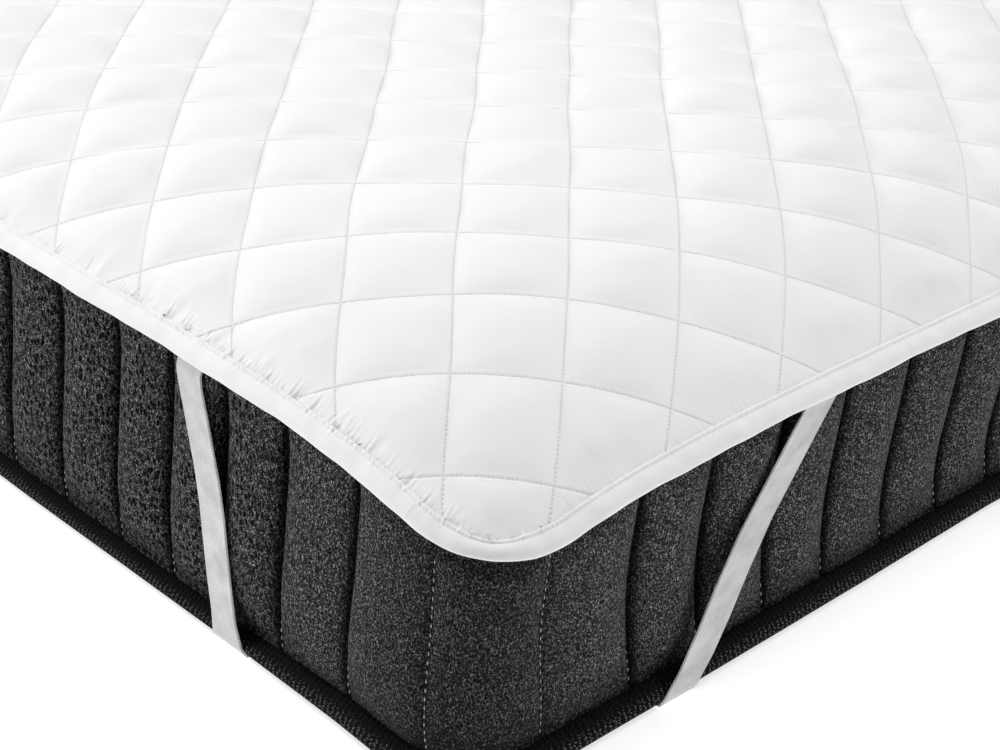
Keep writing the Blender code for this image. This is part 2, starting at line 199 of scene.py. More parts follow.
class Outline:
    """A rounded rectangle, followed by the distance round it from the start of the nearest corner."""

    def __init__(self, half_x, half_y, radius):
        self.half_x, self.half_y, self.radius = half_x, half_y, radius
        arc = radius * math.pi / 2
        lengths = [arc, 2 * (half_x - radius), arc, 2 * (half_y - radius)] * 2
        self.ends = np.concatenate([[0.0], np.cumsum(lengths)])
        self.length = float(self.ends[-1])

    def at(self, distance, inset):
        """Points this far inside the outline. Both are arrays."""
        distance, inset = np.broadcast_arrays(np.asarray(distance, float) % self.length, inset)
        segment = np.clip(np.searchsorted(self.ends, distance, side="right") - 1, 0, 7)
        part = (distance - self.ends[segment]) / (self.ends[segment + 1] - self.ends[segment])
        quarter = segment // 2
        centre_x = self.half_x - self.radius
        centre_y = self.half_y - self.radius
        angle = np.pi * (1 + (quarter + part) / 2)
        side_x = np.array([-1, 1, 1, -1])[quarter]
        side_y = np.array([-1, -1, 1, 1])[quarter]
        arc_x = side_x * centre_x + (self.radius - inset) * np.cos(angle)
        arc_y = side_y * centre_y + (self.radius - inset) * np.sin(angle)
        sweep = 2 * part - 1
        side = np.stack([quarter == one for one in range(4)])
        line_x = np.select(side, [sweep * centre_x, self.half_x - inset, -sweep * centre_x, inset - self.half_x])
        line_y = np.select(side, [inset - self.half_y, sweep * centre_y, self.half_y - inset, -sweep * centre_y])
        is_arc = segment % 2 == 0
        return np.where(is_arc, arc_x, line_x), np.where(is_arc, arc_y, line_y)

    def measure(self, x, y):
        """(distance round, inset) of points near the outline, and a large inset for those in the middle."""
        centre_x = self.half_x - self.radius
        centre_y = self.half_y - self.radius
        past_x = np.abs(x) - centre_x
        past_y = np.abs(y) - centre_y
        corner = (past_x > 0) & (past_y > 0)
        inset = np.where(
            corner,
            self.radius - np.hypot(past_x, past_y),
            self.radius - np.maximum(past_x, past_y),
        )
        angle = (np.arctan2(y - np.clip(y, -centre_y, centre_y), x - np.clip(x, -centre_x, centre_x))) % (2 * np.pi)
        turned = ((angle - np.pi) % (2 * np.pi)) * self.radius
        straight_x, straight_y = 2 * centre_x, 2 * centre_y
        quarter = ((angle - np.pi) % (2 * np.pi)) // (np.pi / 2)
        on_arc = turned + np.select(
            [quarter == one for one in range(4)],
            [0, straight_x, straight_x + straight_y, 2 * straight_x + straight_y],
        )
        by_x = past_x >= past_y
        low, high = y < 0, y >= 0
        on_line = np.select(
            [~by_x & low, by_x & (x > 0), ~by_x & high],
            [self.ends[1] + x + centre_x, self.ends[3] + y + centre_y, self.ends[5] - x + centre_x],
            self.ends[7] - y + centre_y,
        )
        return np.where(corner, on_arc, on_line), inset

    def from_near_corner(self, distance):
        """The distance round, taken from -half to half of the whole, so that it runs both ways from the start."""
        return (distance + self.length / 2) % self.length - self.length / 2

    def from_corner_middle(self, distance):
        middles = (self.ends[:-1:2] + self.ends[1::2]) / 2
        away = np.abs(np.asarray(distance)[..., None] - middles)
        return np.minimum(away, self.length - away).min(-1)


PAD_OUTLINE = Outline(PAD_HALF_X, PAD_HALF_Y, PAD_CORNER)
MATTRESS_OUTLINE = Outline(HALF_X, HALF_Y, CORNER_RADIUS)


def graded(outline, zones):
    """Distances round an outline, close together near the corner that the camera sees best.

    zones is rows of (reach from that corner, step), from the nearest zone to the last.
    """
    marks = []
    here = 0.0
    while here < outline.length:
        marks.append(here)
        reach = min(here, outline.length - here)
        here += next(step for limit, step in zones if reach <= limit)
    if outline.length - marks[-1] < zones[0][1] / 2:
        marks.pop()
    return np.array(marks)


def make_piece(name, points, faces, material, layers=None, smooth=True):
    """A closed mesh whose faces are turned outward. layers gives each point's place in named flat maps."""
    mesh = bpy.data.meshes.new(name)
    mesh.from_pydata(np.asarray(points).tolist(), [], [tuple(face) for face in faces])
    work = bmesh.new()
    work.from_mesh(mesh)
    bmesh.ops.recalc_face_normals(work, faces=work.faces)
    work.to_mesh(mesh)
    work.free()
    corners = np.empty(len(mesh.loops), np.int32)
    mesh.loops.foreach_get("vertex_index", corners)
    for layer_name, places in (layers or {}).items():
        layer = mesh.uv_layers.new(name=layer_name)
        layer.data.foreach_set("uv", np.asarray(places, np.float32)[corners].ravel())
    mesh.polygons.foreach_set("use_smooth", np.full(len(mesh.polygons), smooth))
    mesh.materials.append(material)
    mesh.update()
    made = bpy.data.objects.new(name, mesh)
    bpy.context.scene.collection.objects.link(made)
    return made


def grid_faces(rows, columns, wrap_rows=False, wrap_columns=False):
    """Four-sided faces of a grid of points, which may close on itself in either direction."""
    row = np.arange(rows if wrap_rows else rows - 1)
    column = np.arange(columns if wrap_columns else columns - 1)
    row, column = np.meshgrid(row, column, indexing="ij")
    below = (row + 1) % rows
    beside = (column + 1) % columns
    corners = (row * columns + column, row * columns + beside, below * columns + beside, below * columns + column)
    return np.stack(corners, -1).reshape(-1, 4).tolist()


# Materials

TWILL_COLUMN = 0.0021
TWILL_RIB = 0.0014


def grey(level):
    return level, level, level


class Shader:
    """A Principled material with short calls for its nodes."""

    def __init__(self, name, roughness, sheen=0.0):
        self.material = bpy.data.materials.new(name)
        self.material.use_nodes = True
        self.tree = self.material.node_tree
        self.surface = self.tree.nodes["Principled BSDF"]
        self.surface.inputs["Roughness"].default_value = roughness
        self.surface.inputs["Sheen Weight"].default_value = sheen
        self.surface.inputs["Specular IOR Level"].default_value = 0.25

    def node(self, kind, **settings):
        made = self.tree.nodes.new(kind)
        for key, value in settings.items():
            setattr(made, key, value)
        return made

    def link(self, output, entry):
        self.tree.links.new(output, entry)

    def flat(self, layer="flat"):
        return self.node("ShaderNodeUVMap", uv_map=layer).outputs["UV"]

    def place(self):
        return self.node("ShaderNodeTexCoord").outputs["Object"]

    def parts(self, vector):
        made = self.node("ShaderNodeSeparateXYZ")
        self.link(vector, made.inputs[0])
        return made.outputs

    def step(self, value, low, high):
        """0 below low, 1 above high, smooth between. A low above high turns it round."""
        made = self.node("ShaderNodeMapRange", interpolation_type="SMOOTHSTEP")
        made.inputs["From Min"].default_value = min(low, high)
        made.inputs["From Max"].default_value = max(low, high)
        made.inputs["To Min"].default_value = 1.0 if low > high else 0.0
        made.inputs["To Max"].default_value = 0.0 if low > high else 1.0
        self.link(value, made.inputs["Value"])
        return made.outputs["Result"]

    def shaded(self, colour, share, weakest):
        """A colour darkened down to a weakest share of itself where share is 1."""
        factor = self.sum((share, weakest - 1.0), start=1.0)
        made = self.node("ShaderNodeVectorMath", operation="SCALE")
        self.link(colour, made.inputs[0])
        self.link(factor, made.inputs["Scale"])
        return made.outputs["Vector"]

    def scaled(self, vector, scale):
        mapping = self.node("ShaderNodeMapping")
        mapping.inputs["Scale"].default_value = scale
        self.link(vector, mapping.inputs["Vector"])
        return mapping.outputs["Vector"]

    def noise(self, vector, scale, detail=2.0, roughness=0.5):
        made = self.node("ShaderNodeTexNoise")
        made.inputs["Scale"].default_value = scale
        made.inputs["Detail"].default_value = detail
        made.inputs["Roughness"].default_value = roughness
        self.link(vector, made.inputs["Vector"])
        return made.outputs["Fac"]

    def pits(self, vector, scale, randomness=1.0):
        """Distance to the nearest of the points scattered over a plane."""
        made = self.node("ShaderNodeTexVoronoi", voronoi_dimensions="2D")
        made.inputs["Scale"].default_value = scale
        made.inputs["Randomness"].default_value = randomness
        self.link(vector, made.inputs["Vector"])
        return made.outputs["Distance"]

    def sum(self, *terms, start=0.0):
        """Weighted sum of (output, weight) pairs."""
        total = None
        for output, weight in terms:
            made = self.node("ShaderNodeMath", operation="MULTIPLY_ADD")
            self.link(output, made.inputs[0])
            made.inputs[1].default_value = weight
            if total is not None:
                self.link(total, made.inputs[2])
            else:
                made.inputs[2].default_value = start
            total = made.outputs["Value"]
        return total

    def math(self, operation, one, two=None):
        made = self.node("ShaderNodeMath", operation=operation)
        self.link(one, made.inputs[0])
        if isinstance(two, (int, float)):
            made.inputs[1].default_value = two
        elif two is not None:
            self.link(two, made.inputs[1])
        return made.outputs["Value"]

    def ramp(self, value, stops):
        """stops is rows of (place, (red, green, blue))."""
        made = self.node("ShaderNodeValToRGB")
        entries = made.color_ramp.elements
        while len(entries) < len(stops):
            entries.new(1.0)
        for entry, (place, colour) in zip(entries, stops):
            entry.position = place
            entry.color = (*colour, 1)
        self.link(value, made.inputs["Fac"])
        return made.outputs["Color"]

    def colour(self, output):
        self.link(output, self.surface.inputs["Base Color"])

    def bump(self, height, distance, strength=1.0):
        made = self.node("ShaderNodeBump")
        made.inputs["Distance"].default_value = distance
        made.inputs["Strength"].default_value = strength
        self.link(height, made.inputs["Height"])
        self.link(made.outputs["Normal"], self.surface.inputs["Normal"])


def white_microfibre(quilted):
    """Matt white cloth. The quilted one is drawn in along its stitch lines, with a pit at each needle hole, and its
    colour is darkened in both as painted shade.
    """
    shader = Shader("white_microfibre" if quilted else "white_binding", 0.8, sheen=0.05)
    flat = shader.flat()
    tint = shader.noise(flat, 9.0, detail=3.0)
    tone_and_shade = shader.ramp(tint, ((0.3, (0.875, 0.875, 0.88)), (0.7, (0.905, 0.905, 0.905))))
    wrinkle = shader.noise(flat, 75.0, detail=2.5)
    crumple = shader.noise(flat, 240.0, detail=2.0)
    thread = shader.noise(shader.scaled(flat, (1.0, 2.6, 1)), 2600.0, detail=0.0)
    height = shader.sum((wrinkle, 0.55), (crumple, 0.08), (thread, 0.02))
    if quilted:
        quilt = shader.parts(shader.flat("quilt"))
        lines = []
        for line, run in ((quilt["X"], quilt["Y"]), (quilt["Y"], quilt["X"])):
            from_line = shader.math("PINGPONG", line, 0.5)
            from_hole = shader.math("PINGPONG", shader.math("MULTIPLY", run, STITCHES_PER_CELL), 0.5)
            hole = shader.math("MULTIPLY", shader.step(from_line, 0.010, 0.003), shader.step(from_hole, 0.24, 0.08))
            lines.append((shader.step(from_line, 0.026, 0.003), hole))
        groove = shader.math("MAXIMUM", lines[0][0], lines[1][0])
        hole = shader.math("MAXIMUM", lines[0][1], lines[1][1])
        # Painted shade: the colour is darkened slightly along the stitch grooves and more in the needle holes.
        tone_and_shade = shader.shaded(shader.shaded(tone_and_shade, groove, 0.99), hole, 0.80)
        height = shader.sum((height, 1.0), (groove, -0.35), (hole, -0.2))
    shader.colour(tone_and_shade)
    shader.bump(height, 0.0011, 0.8)
    return shader.material


def thread(name, roughness, grain, dark, pale, bump=None):
    """Thread whose fibres shade from a dark level to a pale one."""
    shader = Shader(name, roughness, sheen=0.1)
    fibre = shader.noise(shader.place(), grain, detail=1.0)
    shader.colour(shader.ramp(fibre, ((0.3, grey(dark)), (0.7, grey(pale)))))
    if bump:
        shader.bump(fibre, bump, 0.4)
    return shader.material


def white_elastic():
    """Fine herringbone: ribs that slant one way and then the other, in columns along the strap."""
    shader = Shader("white_elastic", 0.6, sheen=0.1)
    flat = shader.flat()
    parts = shader.parts(flat)
    column = shader.math("PINGPONG", parts["X"], TWILL_COLUMN)
    slant = shader.sum((column, 1.0), (parts["Y"], 1.0))
    rib = shader.math("SINE", shader.math("MULTIPLY", slant, 2 * math.pi / TWILL_RIB))
    wear = shader.noise(flat, 60.0, detail=3.0)
    shade = shader.sum((rib, 0.18), (wear, 0.8))
    shader.colour(shader.ramp(shade, ((0.1, (0.50, 0.50, 0.51)), (0.6, (0.86, 0.86, 0.87)))))
    shader.bump(rib, 0.00018, 0.7)
    return shader.material


def charcoal_knit():
    """Melange knit: pale fibres scattered in black, with dimples that fade where the cover turns a corner. Painted
    shade darkens the corners, the dimples, the seams' creases and the foot.
    """
    shader = Shader("charcoal_knit", 0.95)
    shader.surface.inputs["Specular IOR Level"].default_value = 0.05
    place = shader.place()
    parts = shader.parts(place)
    fibre = shader.noise(shader.scaled(place, (1.0, 1.0, 0.5)), 2100.0, detail=1.5, roughness=0.6)
    fleck = shader.noise(shader.scaled(place, (1.0, 1.0, 0.7)), 860.0, detail=1.0)
    melange = shader.ramp(
        shader.sum((fibre, 0.6), (fleck, 0.4)),
        (
            (0.40, grey(0.006)),
            (0.49, grey(0.025)),
            (0.56, (0.088, 0.088, 0.089)),
            (0.65, (0.460, 0.460, 0.462)),
        ),
    )
    flat = shader.node("ShaderNodeCombineXYZ")
    shader.link(shader.sum((parts["Y"], 1.0), (parts["X"], -1.0)), flat.inputs[0])
    shader.link(parts["Z"], flat.inputs[1])
    # Dimples: their hollows are bumped in and darkened below as painted shade.
    pit = shader.step(shader.pits(shader.scaled(flat.outputs[0], (1.0, 0.72, 1.0)), 205.0, 0.9), 0.37, 0.17)
    patchy = shader.step(shader.noise(place, 45.0, detail=1.0), 0.28, 0.62)
    pit = shader.math("MULTIPLY", pit, shader.sum((patchy, 0.4), start=0.6))
    short_side = shader.step(shader.math("ABSOLUTE", parts["Y"]), 0.95, 0.985)
    pit = shader.math("MULTIPLY", pit, shader.sum((short_side, -0.75), start=1.0))
    from_corner = shader.sum(
        (shader.math("ABSOLUTE", parts["X"]), -1.0),
        (shader.math("ABSOLUTE", parts["Y"]), -1.0),
        start=HALF_X + HALF_Y,
    )
    dimple = shader.math("MULTIPLY", pit, shader.step(from_corner, 0.04, 0.24))
    # Painted shade: the knit is darkened to half round each corner of the mattress, where little light falls.
    corner_shade = shader.step(from_corner, 0.14, 0.02)
    # The side map brings the painted shade of the seams' creases and the height up the side.
    side = shader.parts(shader.flat("side"))
    crease_shade, foot_shade = side["X"], shader.step(side["Y"], 0.052, 0.014)
    shade = shader.shaded(shader.shaded(melange, corner_shade, 0.50), dimple, 0.05)
    # Painted shade: the knit is darkened to half near the wall's foot.
    shader.colour(shader.shaded(shader.shaded(shade, crease_shade, 0.12), foot_shade, 0.5))
    shader.bump(shader.sum((dimple, -1.0), (fibre, 0.10)), 0.0018, 0.9)
    return shader.material


def black_mesh():
    """Coarse black mesh with rows of small pale dashes along it, painted brighter low down as a highlight and darker
    at its top as shade.
    """
    shader = Shader("black_mesh", 0.85, sheen=0.0)
    shader.surface.inputs["Specular IOR Level"].default_value = 0.1
    flat = shader.flat()
    dash = shader.step(shader.pits(shader.scaled(flat, (0.42, 1.25, 1)), 560.0, 0.45), 0.42, 0.12)
    filament = shader.noise(shader.scaled(flat, (1.0, 0.6, 1)), 900.0, detail=1.0)
    # Painted highlight on the band's lower, rounded part, and painted shade toward its top.
    lower = shader.step(shader.parts(flat)["Y"], 0.0175, 0.0095)
    shade = shader.math("MULTIPLY", shader.math("MULTIPLY", dash, filament), shader.sum((lower, 0.6), start=0.55))
    shader.colour(
        shader.ramp(
            shade,
            ((0.10, (0.002, 0.002, 0.002)), (0.40, (0.030, 0.030, 0.031)), (0.60, (0.22, 0.22, 0.225))),
        )
    )
    shader.bump(dash, 0.0006, 0.8)
    return shader.material


def pale_floor():
    shader = Shader("pale_floor", 0.9)
    cloud = shader.noise(shader.place(), 1.5, detail=1.0)
    shader.colour(shader.ramp(cloud, ((0.0, grey(0.70)), (1.0, grey(0.72)))))
    shader.surface.inputs["Emission Color"].default_value = (1, 1, 1, 1)
    shader.surface.inputs["Emission Strength"].default_value = FLOOR_GLOW
    return shader.material


# Quilted pad


def wander(across, along):
    """Stitch lines wander a little, as sewn ones do."""
    shift_x = ripple(along, ((0.31, 0.0011, 0.4), (0.127, 0.0006, 2.0)))
    shift_y = ripple(across, ((0.27, 0.0011, 1.1), (0.113, 0.0006, 0.3)))
    return shift_x, shift_y


def quilt_to_flat(side, depth):
    """Flat spots from quilting coordinates, whose stitch lines lie on whole numbers."""
    deep = (QUILT_START_DEPTH + depth) * QUILT_PITCH
    aside = (QUILT_START_SIDE + side) * QUILT_PITCH
    across = math.cos(QUILT_TURN) * deep + math.sin(QUILT_TURN) * aside - HALF_X
    along = math.sin(QUILT_TURN) * deep - math.cos(QUILT_TURN) * aside - HALF_Y
    shift_x, shift_y = wander(across, along)
    return across + shift_x, along + shift_y


def straight_quilt(across, along):
    """Quilting coordinates of flat spots as if the stitch lines were straight."""
    x, y = across + HALF_X, along + HALF_Y
    depth = (x * math.cos(QUILT_TURN) + y * math.sin(QUILT_TURN)) / QUILT_PITCH - QUILT_START_DEPTH
    side = (x * math.sin(QUILT_TURN) - y * math.cos(QUILT_TURN)) / QUILT_PITCH - QUILT_START_SIDE
    return side, depth


def flat_to_quilt(across, along):
    """Quilting coordinates of flat spots, found in a few rounds because the wander depends on the result."""
    straight_x, straight_y = across, along
    for _ in range(4):
        shift_x, shift_y = wander(straight_x, straight_y)
        straight_x, straight_y = across - shift_x, along - shift_y
    return straight_quilt(straight_x, straight_y)


def seam_inset(distance):
    """How far inside the edge the binding is sewn on."""
    return SEAM_INSET - CORNER_NARROWING * np.exp(-((PAD_OUTLINE.from_corner_middle(distance) / 0.030) ** 2))


def pleats(distance, past_seam):
    """Small uneven pleats across the binding's seam, which fade on both sides of it."""
    place = PAD_OUTLINE.from_near_corner(distance)
    strength = PLAIN_GATHER + sum(size * np.exp(-(((place - at) / half) ** 2)) for at, half, size in GATHERS)
    around = PAD_OUTLINE.length
    swing = ripple(distance, ((0.037, 1.3, 0.0), (0.017, 0.8, 2.0)), around)
    fine = 2 * math.pi * distance * round(around / 0.0037) / around
    wide = 2 * math.pi * distance * round(around / 0.0064) / around
    wave = 0.62 * np.sin(fine + swing) + 0.45 * np.sin(wide + 1.7 * swing + 0.9)
    unlike = 0.65 + ripple(distance, ((0.0212, 0.35, 0.5), (0.0131, 0.25, 2.1)), around)
    reach = np.where(past_seam > 0, 0.0060 + ripple(distance, ((0.0182, 0.0035, 0.0),), around), 0.0032)
    reach = reach * (1 - 0.5 * np.exp(-((PAD_OUTLINE.from_corner_middle(distance) / 0.045) ** 2)))
    return PLEAT_HEIGHT * strength * unlike * wave * np.exp(-((past_seam / reach) ** 2))


def creases(distance, inset):
    place = PAD_OUTLINE.from_near_corner(distance)
    total = np.zeros_like(place)
    for start, start_inset, end, end_inset, half_width, height in CREASES:
        run = np.array([end - start, end_inset - start_inset])
        share = ((place - start) * run[0] + (inset - start_inset) * run[1]) / (run @ run)
        held = np.clip(share, 0, 1)
        away = np.hypot(place - start - held * run[0], inset - start_inset - held * run[1])
        total += height * np.exp(-((away / half_width) ** 2)) * (1 - held * held)
    return total


def pillow(place, lean):
    """The rounded section of a sewn cell, 0 at its stitch lines and 1 at its middle."""
    moved = np.clip(place + lean * np.sin(np.pi * place), 0, 1)
    return 1 - np.abs(2 * moved - 1) ** 2.1


def quilt_height(across, along):
    """Height of the pad's upper face over the stitch lines."""
    side, depth = flat_to_quilt(across, along)
    cell_side, cell_depth = np.floor(side + 1e-6), np.floor(depth + 1e-6)
    in_side, in_depth = side - cell_side, depth - cell_depth
    from_corner = np.hypot(HALF_X - np.abs(across), HALF_Y - np.abs(along))
    fullness = 0.84 + 0.32 * scatter(cell_side, cell_depth)
    fullness = fullness * (0.46 + 0.54 * smooth_step(0.10, 0.60, from_corner))
    puff = pillow(in_side, 0.10 * (scatter(cell_depth, cell_side, 3) - 0.5))
    puff = puff * pillow(in_depth, 0.10 * (scatter(cell_side, cell_depth, 5) - 0.5))
    puff = np.clip(puff, 0, 1) ** 0.85
    distance, inset = PAD_OUTLINE.measure(across, along)
    past_seam = inset - seam_inset(distance)
    held = smooth_step(-0.002, 0.032, past_seam)
    soft = ripple(across * 0.8 + along * 0.6, ((0.041, 0.5, 0.2), (0.023, 0.3, 1.9)))
    soft = soft * ripple(along * 0.8 - across * 0.6, ((0.037, 0.5, 1.0), (0.061, 0.5, 2.5)))
    lift = PUFF_HEIGHT * fullness * puff * held + 0.0008 * soft * puff
    near = inset < 0.08
    lift[near] += pleats(distance[near], past_seam[near]) + creases(distance[near], inset[near])
    return lift


def clip_to_outline(work, outline, inset, corner_steps):
    """Cuts a flat mesh to a rounded rectangle."""
    half_x, half_y = outline.half_x - inset, outline.half_y - inset
    for normal, reach in (((1, 0, 0), half_x), ((-1, 0, 0), half_x), ((0, 1, 0), half_y), ((0, -1, 0), half_y)):
        cut(work, Vector(normal) * reach, Vector(normal), work.faces)
    radius = outline.radius - inset
    for side_x in (-1, 1):
        for side_y in (-1, 1):
            centre = Vector((side_x * (half_x - radius), side_y * (half_y - radius), 0))
            for step in range(corner_steps):
                angle = math.pi / 2 * (step + 0.5) / corner_steps
                normal = Vector((side_x * math.cos(angle), side_y * math.sin(angle), 0))
                near = [
                    face
                    for face in work.faces
                    if face.verts[0].co.x * side_x > half_x - 2 * radius
                    and face.verts[0].co.y * side_y > half_y - 2 * radius
                ]
                cut(work, centre + normal * radius, normal, near)


def cut(work, point, normal, faces):
    faces = list(faces)
    verts = dict.fromkeys(vert for face in faces for vert in face.verts)  # a set's order differs from run to run
    edges = dict.fromkeys(edge for face in faces for edge in face.edges)
    geometry = [*verts, *edges, *faces]
    bmesh.ops.bisect_plane(work, geom=geometry, dist=1e-6, plane_co=point, plane_no=normal, clear_outer=True)


def quilt_range():
    """Whole stitch lines that cover the pad."""
    corners = np.array([(-1, -1), (-1, 1), (1, -1), (1, 1)]) * (PAD_HALF_X, PAD_HALF_Y)
    sides, depths = straight_quilt(*corners.T)
    return math.floor(min(sides)), math.ceil(max(sides)), math.floor(min(depths)), math.ceil(max(depths))


def halve(work, wanted):
    """Splits each edge of the wanted faces in two."""
    faces = list(work.faces)
    middles = np.array([face.calc_center_median()[:2] for face in faces])
    picked = wanted(*middles.T)
    edges = dict.fromkeys(edge for face, take in zip(faces, picked) if take for edge in face.edges)
    bmesh.ops.subdivide_edges(work, edges=list(edges), cuts=1, use_grid_fill=True)


def near_corner(across, along):
    return np.hypot(across + HALF_X, along + HALF_Y) < NEAR_CORNER


def near_seam(reach, length):
    def wanted(across, along):
        distance, inset = PAD_OUTLINE.measure(across, along)
        return (inset < SEAM_INSET + reach) & (np.abs(PAD_OUTLINE.from_near_corner(distance)) < length)

    return wanted


def flat_quilting(inset):
    """A flat mesh whose edges lie along the stitch lines, cut to the pad's outline and finer near the camera."""
    low_side, high_side, low_depth, high_depth = quilt_range()
    side = np.arange((high_side - low_side) * QUILT_STEPS + 1) / QUILT_STEPS + low_side
    depth = np.arange((high_depth - low_depth) * QUILT_STEPS + 1) / QUILT_STEPS + low_depth
    side, depth = np.meshgrid(side, depth, indexing="ij")
    faces = grid_faces(*side.shape)
    across, along = quilt_to_flat(side.ravel(), depth.ravel())
    reach = CUT_MARGIN - inset
    keep = (np.abs(across) < PAD_HALF_X + reach) & (np.abs(along) < PAD_HALF_Y + reach)
    faces = np.array(faces)
    faces = faces[keep[faces].all(1)]
    used = np.unique(faces)
    renumber = np.zeros(len(across), int)
    renumber[used] = np.arange(len(used))
    mesh = bpy.data.meshes.new("flat_pad")
    points = np.stack([across[used], along[used], np.zeros(len(used))], -1)
    mesh.from_pydata(points.tolist(), [], renumber[faces].tolist())
    work = bmesh.new()
    work.from_mesh(mesh)
    bpy.data.meshes.remove(mesh)
    clip_to_outline(work, PAD_OUTLINE, inset, 8)
    halve(work, near_corner)
    for reach, length in FINE_ZONES:
        halve(work, near_seam(reach, length))
    bmesh.ops.recalc_face_normals(work, faces=work.faces)
    work.verts.index_update()
    return work


def quilted_pad(material):
    inset = SEAM_INSET - CORNER_NARROWING - PAD_UNDER_BINDING
    work = flat_quilting(inset)
    top_flat = np.array([vert.co[:2] for vert in work.verts])
    top_faces = [tuple(vert.index for vert in face.verts) for face in work.faces]
    rim = ordered_rim(work)
    work.free()
    top = on_cloth(*top_flat.T, quilt_height(*top_flat.T))

    # Underside: a sparse sheet that shares its rim with the upper face, one thickness lower
    marks = [np.arange(-reach, reach + 0.001, step) for reach, step in UNDERSIDE_GRID]
    grid_x, grid_y = np.meshgrid(*marks, indexing="ij")
    inner = np.stack([grid_x.ravel(), grid_y.ravel()], -1)
    _, inner_inset = PAD_OUTLINE.measure(*inner.T)
    inner = inner[inner_inset > inset + 0.01]
    spots = [Vector(spot) for spot in np.concatenate([top_flat[rim], inner]).tolist()]
    ring = [(index, (index + 1) % len(rim)) for index in range(len(rim))]
    low_flat, _, low_faces, sources, _, _ = delaunay_2d_cdt(spots, ring, [], 1, 1e-7)
    low_flat = np.array([spot[:] for spot in low_flat])
    low = on_cloth(*low_flat.T, -PAD_THICK)
    first = len(top)
    lower = {source: first + index for index, from_spots in enumerate(sources) for source in from_spots}
    faces = top_faces + [tuple(first + corner for corner in face[::-1]) for face in low_faces]
    for index, here in enumerate(rim):
        after = (index + 1) % len(rim)
        faces.append((here, lower[index], lower[after], rim[after]))
    flat = np.concatenate([top_flat, low_flat])
    quilt = np.stack(flat_to_quilt(*flat.T), -1)
    return make_piece("pad", np.concatenate([top, low]), faces, material, {"flat": flat, "quilt": quilt})


def ordered_rim(work):
    """Indices of a mesh's one open edge, in order round it, counterclockwise from above."""
    follow = {}
    for edge in work.edges:
        if edge.is_boundary:
            one, other = edge.verts
            follow.setdefault(one.index, []).append(other.index)
            follow.setdefault(other.index, []).append(one.index)
    start = next(iter(follow))
    rim, before = [start], None
    while True:
        here = rim[-1]
        after = [index for index in follow[here] if index != before][0]
        if after == start:
            break
        before = here
        rim.append(after)
    return rim


# Stitches: length, width and half height of one, and the distance from one to the next where it is fixed

QUILT_STITCH = (0.0021, 0.0007, 0.00035)
BINDING_STITCH = (0.0022, 0.0007, 0.00035)
BINDING_STITCH_PITCH = 0.0031
SEAM_STITCH = (0.0036, 0.0009, 0.0005)
SEAM_STITCH_PITCH = 0.0058


def stitch_mesh(name, middle, heading, up, size, material):
    """Small spindles of thread, one for each middle, joined in one mesh. Each has six corners and eight faces."""
    length, width, height = size
    heading = heading / np.linalg.norm(heading, axis=1, keepdims=True)
    side = np.cross(up, heading)
    side /= np.linalg.norm(side, axis=1, keepdims=True)
    ends = heading * length / 2
    wide = side * width / 2
    tall = up * height
    corners = np.stack([middle - ends, middle + wide, middle + ends, middle - wide, middle + tall, middle - tall], 1)
    shape = np.array([(0, 1, 4), (1, 2, 4), (2, 3, 4), (3, 0, 4), (1, 0, 5), (2, 1, 5), (3, 2, 5), (0, 3, 5)])
    faces = (np.arange(len(middle))[:, None, None] * 6 + shape).reshape(-1, 3)
    return make_piece(name, corners.reshape(-1, 3), faces, material)


def quilt_stitches(material):
    """Stitches along every quilting line, in two pieces, one for each direction."""
    low_side, high_side, low_depth, high_depth = quilt_range()
    stitch_pitch = QUILT_PITCH / STITCHES_PER_CELL
    pieces = []
    for name, lines, low, high in (
        ("quilt_stitches_deep", range(low_side, high_side + 1), low_depth, high_depth),
        ("quilt_stitches_side", range(low_depth, high_depth + 1), low_side, high_side),
    ):
        steps = (np.arange(int((high - low) * QUILT_PITCH / stitch_pitch)) + 0.5) * stitch_pitch / QUILT_PITCH + low
        middles, headings = [], []
        for line in lines:
            shake = 0.0045 * (scatter(line, np.arange(len(steps))) - 0.5)
            if name == "quilt_stitches_deep":
                across, along = quilt_to_flat(line + shake, steps)
                ahead = quilt_to_flat(line + shake, steps + 0.02)
            else:
                across, along = quilt_to_flat(steps, line + shake)
                ahead = quilt_to_flat(steps + 0.02, line + shake)
            distance, inset = PAD_OUTLINE.measure(across, along)
            past_seam = inset - seam_inset(distance)
            keep = past_seam > 0.0012
            lift = 0.0001 + pleats(distance, past_seam)
            here = on_cloth(across, along, lift)[keep]
            there = on_cloth(*ahead, lift)[keep]
            middles.append(here)
            headings.append(there - here)
        middle = np.concatenate(middles)
        heading = np.concatenate(headings)
        pieces.append(stitch_mesh(name, middle, heading, upward(middle), QUILT_STITCH, material))
    return pieces


def upward(points):
    """Rough outward normals of the cloth at points on it."""
    run_x = np.interp(HALF_X - np.abs(points[:, 0]), PLAN, RUN)
    run_y = np.interp(HALF_Y - np.abs(points[:, 1]), PLAN, RUN)
    normal = np.stack(
        [
            np.sign(points[:, 0]) * np.tan(slope_at(run_x)),
            np.sign(points[:, 1]) * np.tan(slope_at(run_y)),
            np.ones(len(points)),
        ],
        -1,
    )
    return normal / np.linalg.norm(normal, axis=1, keepdims=True)


# Binding

